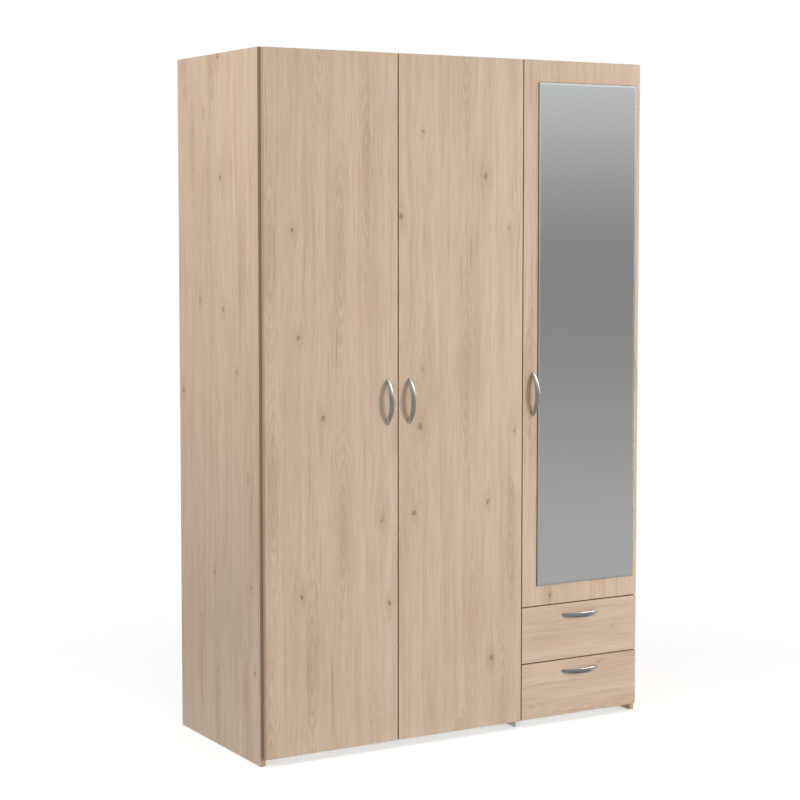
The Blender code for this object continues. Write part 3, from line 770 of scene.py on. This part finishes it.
def add_drawer_fittings(drawer):
    """A drawer's screws, and the caps over the cams that hold its front to its sides."""
    front_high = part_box(drawer + "_front")[1]
    low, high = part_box(drawer + "_handle")
    sides = [(side, *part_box(f"{drawer}_{name}_side")) for side, name in ((-1, "left"), (1, "right"))]
    bm = bmesh.new()
    z = (low.z + high.z) / 2
    for x in (low.x + HANDLE_SCREW_INSET, high.x - HANDLE_SCREW_INSET):
        screw(bm, (x, front_high.y - THIN_SEAT, z), (0, 1, 0), *HANDLE_SCREW)
    for side, board_low, board_high in sides:
        outer = board_low.x if side < 0 else board_high.x
        for z in (board_low.z + SIDE_SCREW_INSETS[0], board_high.z - SIDE_SCREW_INSETS[1]):
            place = (outer - side * SEAT, board_high.y - SIDE_SCREW_BACK, z)
            screw(bm, place, (side, 0, 0), *SIDE_SCREW)
    fit(drawer + "_screws", bm, SCREW_STEEL, drawer)

    bm = bmesh.new()
    for side, board_low, board_high in sides:
        inner = board_high.x if side < 0 else board_low.x
        for z in (board_low.z + DRAWER_CAP_INSETS[0], board_high.z - DRAWER_CAP_INSETS[1]):
            place = (inner + side * THIN_SEAT, board_low.y + DRAWER_CAP_FRONT, z)
            disc(bm, place, (-side, 0, 0), *DRAWER_CAP)
    fit(drawer + "_cam_caps", bm, WHITE_PLASTIC, drawer)


for door in DOORS:
    add_door_fittings(door)
for drawer in DRAWERS:
    add_drawer_fittings(drawer)

WALL_GAP = 0.0003  # between a shelf's end and the board beside it
PIN_PROFILE = ((0.0046, 0.0), (0.0046, 0.0010), (0.0024, 0.0014), (0.0024, 0.0070), (0.0018, 0.0076))
PIN_DROP = 0.0049  # from the shelf's underside to the pin's middle
PIN_INSETS = (0.037, 0.050)  # from the shelf's front and rear edge
SPOON_REACH = (0.0012, 0.0085)  # from the wall
SPOON_HALF_WIDTH = 0.0045
SPOON_DEPTH = (0.0014, 0.0001)  # below the shelf


def add_shelf_pins():
    """A spoon-shaped pin under each corner of the two loose shelves."""
    bm = bmesh.new()
    for shelf in ("lower_loose_shelf", "upper_loose_shelf"):
        low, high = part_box(shelf)
        for x, side in ((low.x - WALL_GAP, 1), (high.x + WALL_GAP, -1)):
            x0, x1 = sorted(x + side * reach for reach in SPOON_REACH)
            for y in (low.y + PIN_INSETS[0], high.y - PIN_INSETS[1]):
                place = (x + side * THIN_SEAT, y, low.z - PIN_DROP)
                turned(bm, place, (side, 0, 0), PIN_PROFILE, sides=20)
                spoon_low = (x0, y - SPOON_HALF_WIDTH, low.z - SPOON_DEPTH[0])
                spoon_high = (x1, y + SPOON_HALF_WIDTH, low.z - SPOON_DEPTH[1])
                block(bm, spoon_low, spoon_high, bevel=0.0004)
    fit("shelf_pins", bm, HINGE_STEEL, "carcase")


CAM_CAP = (0.0085, 0.0009)
CAM_CAP_SIDE_INSET = 0.034
CAM_CAP_INSETS = (0.050, 0.060)  # from the board's front and rear edge


def shelf_span(shelf):
    """A shelf's two ends along X, to a tenth of a millimetre."""
    low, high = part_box(shelf)
    return round(low.x, 4), round(high.x, 4)


def add_cam_caps():
    """Caps over the cams under the top board and the fixed shelves."""
    wide, narrow = shelf_span("hat_shelf"), shelf_span("drawer_top_shelf")
    bm = bmesh.new()
    for shelf, spans in (
        ("top_panel", (wide, narrow)),
        ("hat_shelf", (wide,)),
        ("drawer_top_shelf", (narrow,)),
    ):
        low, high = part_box(shelf)
        for x0, x1 in spans:
            for x in (x0 + CAM_CAP_SIDE_INSET, x1 - CAM_CAP_SIDE_INSET):
                for y in (low.y + CAM_CAP_INSETS[0], high.y - CAM_CAP_INSETS[1]):
                    disc(bm, (x, y, low.z + THIN_SEAT), (0, 0, -1), *CAM_CAP)
    fit("cam_caps", bm, WHITE_PLASTIC, "carcase")


SOCKET_SCREW = (0.0026, 0.0011)
SOCKET_PLATE_FACE = 0.0027  # from the wall's side of the socket's box to its plate's outer face
SOCKET_SCREW_INSET = 0.0042


def add_socket_screws():
    """Two screws through each rail socket's plate."""
    bm = bmesh.new()
    for socket, side in (("left_rail_socket", 1), ("right_rail_socket", -1)):
        low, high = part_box(socket)
        plate = (low.x if side > 0 else high.x) + side * SOCKET_PLATE_FACE
        z = (low.z + high.z) / 2
        for y in (low.y + SOCKET_SCREW_INSET, high.y - SOCKET_SCREW_INSET):
            screw(bm, (plate - side * SEAT, y, z), (side, 0, 0), *SOCKET_SCREW)
    fit("rail_socket_screws", bm, SCREW_STEEL, "carcase")


NAIL_STEP = 0.125
NAIL_RADIUS = 0.0019
NAIL_PROFILE = ((NAIL_RADIUS, 0.0), (NAIL_RADIUS, 0.0003), (NAIL_RADIUS * 0.7, 0.0006))
NAIL_EDGE_INSET = 0.0045
NAIL_JOINT_INSET = 0.030  # from the sheet's edges that have no board behind them
NAIL_ROW_INSET = 0.04  # from a row's ends to a corner
NAIL_COLUMN_INSET = 0.02
NAILS_LOW = 0.0530  # in the bottom boards' rear edges
NAILS_HIGH = 1.8425  # in the top board's
HALF_BOARD = 0.0075


def nail_row(bm, start, end, y):
    """Nails from start to end, both (x, z), about NAIL_STEP apart."""
    start, end = Vector(start), Vector(end)
    count = max(1, round((end - start).length / NAIL_STEP))
    for i in range(count + 1):
        x, z = start.lerp(end, i / count)
        turned(bm, (x, y - THIN_SEAT, z), (0, 1, 0), NAIL_PROFILE, sides=12)


def add_nails():
    """Nails round the back sheets, into the edges of the boards behind which they lie."""
    hat_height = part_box("hat_shelf")[0].z + HALF_BOARD
    drawer_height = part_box("drawer_top_shelf")[0].z + HALF_BOARD
    bm = bmesh.new()
    for sheet, shelf_height, outer_edges in (
        ("left_back_sheet", hat_height, ("low",)),
        ("middle_back_sheet", hat_height, ("high",)),
        ("right_back_sheet", drawer_height, ("low", "high")),
    ):
        low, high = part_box(sheet)
        x_low = low.x + (NAIL_EDGE_INSET if "low" in outer_edges else NAIL_JOINT_INSET)
        x_high = high.x - (NAIL_EDGE_INSET if "high" in outer_edges else NAIL_JOINT_INSET)
        for z in (NAILS_LOW, NAILS_HIGH, shelf_height):
            nail_row(bm, (x_low + NAIL_ROW_INSET, z), (x_high - NAIL_ROW_INSET, z), high.y)
        z_low, z_high = NAILS_LOW + NAIL_COLUMN_INSET, NAILS_HIGH - NAIL_COLUMN_INSET
        for edge, x in (("low", x_low), ("high", x_high)):
            if edge in outer_edges:
                nail_row(bm, (x, z_low), (x, z_high), high.y)
    fit("back_sheet_nails", bm, SCREW_STEEL, "carcase")


add_shelf_pins()
add_cam_caps()
add_socket_screws()
add_nails()


# Stage: floor, the wall that the mirror faces, lights and camera ----------------------------

FLOOR_REACH = 1.8  # the floor ends in a soft edge this far from the wardrobe
FLOOR_FADE = 0.7
FLOOR_DROP = 0.0002
FLOOR_GLOW = 0.40


def add_floor():
    """A pale round floor that fades out at its rim."""
    look = Look("pale_floor", roughness=0.9, Specular_IOR_Level=0.1)
    dust = look.noise(look.place, scale=3.0, detail=4.0)
    look.paint(look.mix(dust, (0.93, 0.93, 0.93, 1), (0.95, 0.95, 0.95, 1)))
    look.set(look.shader, **{"Emission Color": (1, 1, 1, 1), "Emission Strength": FLOOR_GLOW})
    distance = look.add("VectorMath", look.place, operation="LENGTH").outputs["Value"]
    fade = look.span(distance, FLOOR_FADE, FLOOR_REACH, 1.0, 0.0, smooth=True)
    look.set(look.shader, Alpha=fade)
    bm = bmesh.new()
    bmesh.ops.create_circle(bm, cap_ends=True, segments=64, radius=FLOOR_REACH)
    floor = object_from("floor", bm, look.material)
    floor.location.z = cad_bounds[0][2] - FLOOR_DROP
    floor.visible_diffuse = False


def glossy_only(obj):
    """Shows a card in reflections alone."""
    for rays in ("camera", "diffuse", "transmission", "volume_scatter", "shadow"):
        setattr(obj, "visible_" + rays, False)


def glowing(name, axis, stops, strength=1.0):
    """An emission material whose light follows stops along one axis of the object."""
    material = bpy.data.materials.new(name)
    material.use_nodes = True
    tree = material.node_tree
    tree.nodes.clear()
    place = tree.nodes.new("ShaderNodeTexCoord")
    split = tree.nodes.new("ShaderNodeSeparateXYZ")
    span = tree.nodes.new("ShaderNodeMapRange")
    ramp = tree.nodes.new("ShaderNodeValToRGB")
    glow = tree.nodes.new("ShaderNodeEmission")
    out = tree.nodes.new("ShaderNodeOutputMaterial")
    first, last = stops[0][0], stops[-1][0]
    span.inputs["From Min"].default_value = first
    span.inputs["From Max"].default_value = last
    tree.links.new(place.outputs["Object"], split.inputs[0])
    tree.links.new(split.outputs[axis], span.inputs[0])
    tree.links.new(span.outputs[0], ramp.inputs[0])
    tree.links.new(ramp.outputs[0], glow.inputs["Color"])
    tree.links.new(glow.outputs[0], out.inputs["Surface"])
    glow.inputs["Strength"].default_value = strength
    ramp.color_ramp.interpolation = "EASE"
    elements = ramp.color_ramp.elements
    elements[1].position = 1.0
    for stop, _ in stops[1:-1]:
        elements.new((stop - first) / (last - first))
    for element, (_, light) in zip(elements, stops):
        element.color = (light, light, light, 1)
    return material


HIGHLIGHT_PLACE = (2.6, -0.40, 2.15)
HIGHLIGHT_AIM = (0.2, -0.25, 0.7)
HIGHLIGHT_SIZE = (2.2, 2.4, 1.0)
HIGHLIGHT_LIGHT = 6.5


def add_highlight_card():
    """A bright card at the right, which only the gloss of metal and melamine shows."""
    bm = bmesh.new()
    bmesh.ops.create_grid(bm, x_segments=1, y_segments=1, size=0.5)
    even = ((-0.5, 1.0), (0.5, 1.0))
    look = glowing("highlight_card", 1, even, strength=HIGHLIGHT_LIGHT)
    card = object_from("highlight_card", bm, look)
    card.scale = HIGHLIGHT_SIZE
    card.location = HIGHLIGHT_PLACE
    aim = Vector(HIGHLIGHT_AIM) - card.location
    card.rotation_euler = aim.to_track_quat("Z", "Y").to_euler()
    glossy_only(card)


SWEEP_STEPS = 96
FLOOR_CARD_START = 0.005  # in front of the mirror
FLOOR_CARD_HEIGHT = 0.004


def swept_card(name, material, low_edge, high_edge):
    """A card swept round the mirror between two (distance, height) edges."""
    mirror_low, mirror_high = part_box("mirror_glass")
    mirror_middle = (mirror_low + mirror_high) / 2
    bm = bmesh.new()
    columns = []
    for i in range(SWEEP_STEPS + 1):
        share = i / SWEEP_STEPS
        angle = math.radians(BACKDROP_HALF_SWEEP * (2 * share - 1))
        column = []
        for distance, height in (low_edge, high_edge):
            x = mirror_middle.x + distance * math.sin(angle)
            y = mirror_low.y - distance * math.cos(angle)
            column.append(bm.verts.new((x, y, height)))
        columns.append(column)
    for (a, b), (c, d) in zip(columns, columns[1:]):
        bm.faces.new((a, c, d, b))
    glossy_only(object_from(name, bm, material))


def add_mirrored_room():
    """The wall and the floor that the mirror shows, as glowing cards with painted light and shade."""
    wall_stops = (
        (0.0, BACKDROP_FOOT),
        (BACKDROP_HEIGHT / 2, BACKDROP_HALFWAY),
        (BACKDROP_HEIGHT, BACKDROP_TOP),
    )
    wall_look = glowing("mirrored_wall", 2, wall_stops)
    wall_edges = (BACKDROP_DISTANCE, 0.0), (BACKDROP_DISTANCE, BACKDROP_HEIGHT)
    swept_card("mirrored_wall", wall_look, *wall_edges)
    floor_stops = ((-BACKDROP_DISTANCE, BACKDROP_FOOT), (-SHADE_LENGTH, SHADED_FLOOR))
    floor_look = glowing("mirrored_floor", 1, floor_stops)
    floor_edges = (FLOOR_CARD_START, FLOOR_CARD_HEIGHT), (BACKDROP_DISTANCE, FLOOR_CARD_HEIGHT)
    swept_card("mirrored_floor", floor_look, *floor_edges)


WORLD_LIGHT = 0.46
WORLD_SLOPE = (0.16, -0.10, 0.0)  # brighter to the right and in front


def add_world():
    """A white backdrop for the camera, and soft light with a slight slope for the rest."""
    world = bpy.data.worlds.new("studio")
    bpy.context.scene.world = world
    world.use_nodes = True
    tree = world.node_tree
    tree.nodes.clear()
    rays = tree.nodes.new("ShaderNodeLightPath")
    seen = tree.nodes.new("ShaderNodeBackground")
    lit = tree.nodes.new("ShaderNodeBackground")
    choice = tree.nodes.new("ShaderNodeMixShader")
    out = tree.nodes.new("ShaderNodeOutputWorld")
    direction = tree.nodes.new("ShaderNodeTexCoord")
    slope = tree.nodes.new("ShaderNodeVectorMath")
    strength = tree.nodes.new("ShaderNodeMath")
    seen.inputs["Color"].default_value = (1, 1, 1, 1)
    seen.inputs["Strength"].default_value = 1.0
    lit.inputs["Color"].default_value = (1, 1, 1, 1)
    slope.operation = "DOT_PRODUCT"
    slope.inputs[1].default_value = WORLD_SLOPE
    strength.inputs[1].default_value = WORLD_LIGHT
    tree.links.new(direction.outputs["Generated"], slope.inputs[0])
    tree.links.new(slope.outputs["Value"], strength.inputs[0])
    tree.links.new(strength.outputs[0], lit.inputs["Strength"])
    tree.links.new(rays.outputs["Is Camera Ray"], choice.inputs[0])
    tree.links.new(lit.outputs[0], choice.inputs[1])
    tree.links.new(seen.outputs[0], choice.inputs[2])
    tree.links.new(choice.outputs[0], out.inputs["Surface"])


def soft_light(name, place, aim, size, power):
    """A square area light that faces a point."""
    data = bpy.data.lights.new(name, "AREA")
    data.size = size
    data.energy = power
    light = bpy.data.objects.new(name, data)
    light.location = place
    light.rotation_euler = (Vector(aim) - Vector(place)).to_track_quat("-Z", "Y").to_euler()
    light.visible_glossy = False
    bpy.context.scene.collection.objects.link(light)


def add_camera():
    data = bpy.data.cameras.new("camera")
    data.lens = CAMERA_LENS
    data.sensor_width = 36
    data.shift_y = CAMERA_SHIFT
    data.clip_end = 200
    camera = bpy.data.objects.new("camera", data)
    camera.location = CAMERA_PLACE
    camera.rotation_euler = (math.radians(90 - CAMERA_DIP), 0, math.radians(-CAMERA_TURN))
    bpy.context.scene.collection.objects.link(camera)
    bpy.context.scene.camera = camera


add_floor()
add_highlight_card()
add_mirrored_room()
add_world()
soft_light("key_light", place=(2.2, -3.6, 1.1), aim=(0.0, -0.2, 0.1), size=0.9, power=77)
soft_light("left_light", place=(-3.2, -0.4, 2.4), aim=(-0.6, 0.0, 1.1), size=1.3, power=57)
add_camera()
bpy.context.scene.view_settings.view_transform = "Standard"
